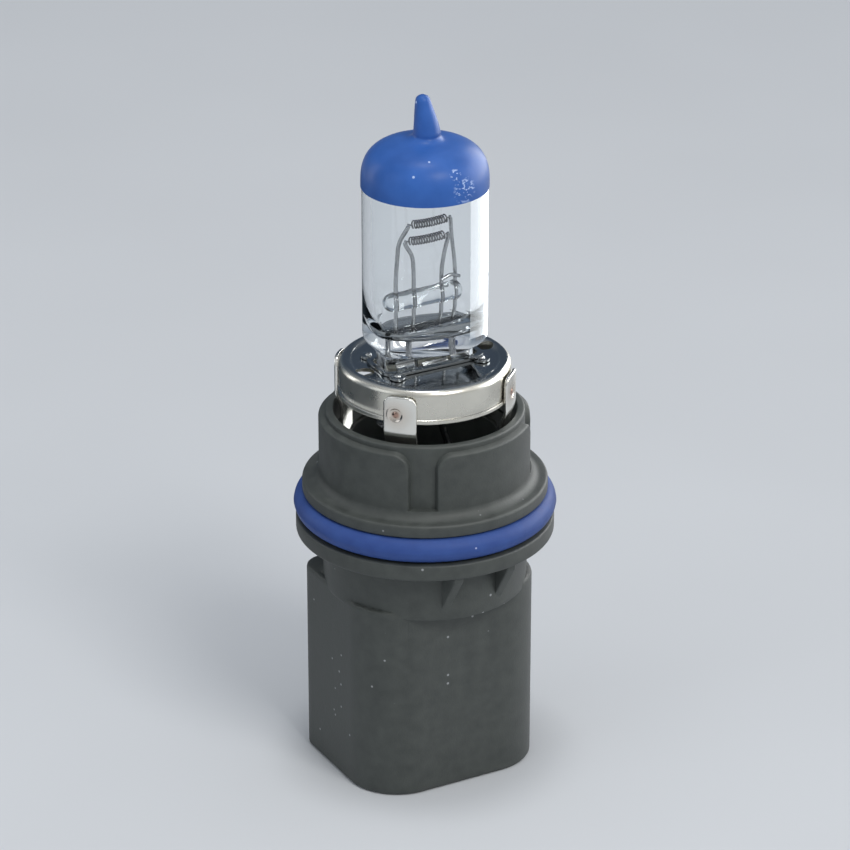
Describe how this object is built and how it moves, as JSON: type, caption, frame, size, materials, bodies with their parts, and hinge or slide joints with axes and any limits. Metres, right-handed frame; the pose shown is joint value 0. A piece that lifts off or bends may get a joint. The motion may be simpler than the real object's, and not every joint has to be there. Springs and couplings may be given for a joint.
{
  "type": "headlight bulb",
  "caption": "Dual-beam halogen headlight bulb: clear glass capsule with a blue coated dome, metal cup, keyed round plastic base, sealing ring and bladed connector socket.",
  "frame": {"origin": "centre of the connector's open end face, on the bulb's axis. The flange's upper face, the plane that seats in the lamp, is 37.1 mm above it.", "axes": "+Z along the bulb's axis from the connector to the glass tip. X along both filament coils and across the width of the flat press seal."},
  "size_m": [0.0312, 0.0312, 0.0848],
  "materials": {
    "clear_glass": "polished",
    "blue_coating": "gloss",
    "tungsten": "satin",
    "lead_wire": "satin",
    "foil": "satin",
    "satin_steel": "satin",
    "clip_steel": "satin",
    "black_plastic": "matte",
    "blue_silicone": "satin",
    "tinned_brass": "satin",
    "potting": "satin"
  },
  "bodies": {
    "root": {"glass_envelope": "clear_glass", "glare_coating": "blue_coating", "low_beam_filament": "tungsten", "high_beam_filament": "tungsten", "low_beam_lead": "lead_wire", "high_beam_lead": "lead_wire", "common_lead": "lead_wire", "filament_support": "lead_wire", "lead_crosspiece": "lead_wire", "glass_bridge": "clear_glass", "low_beam_foil": "foil", "high_beam_foil": "foil", "common_foil": "foil", "low_beam_outer_lead": "lead_wire", "high_beam_outer_lead": "lead_wire", "common_outer_lead": "lead_wire", "capsule_cup": "satin_steel", "seal_clip": "clip_steel", "mounting_ring": "satin_steel", "base_housing": "black_plastic", "sealing_ring": "blue_silicone", "low_beam_terminal": "tinned_brass", "high_beam_terminal": "tinned_brass", "common_terminal": "tinned_brass", "terminal_seal": "potting"}
  },
  "joints": []
}
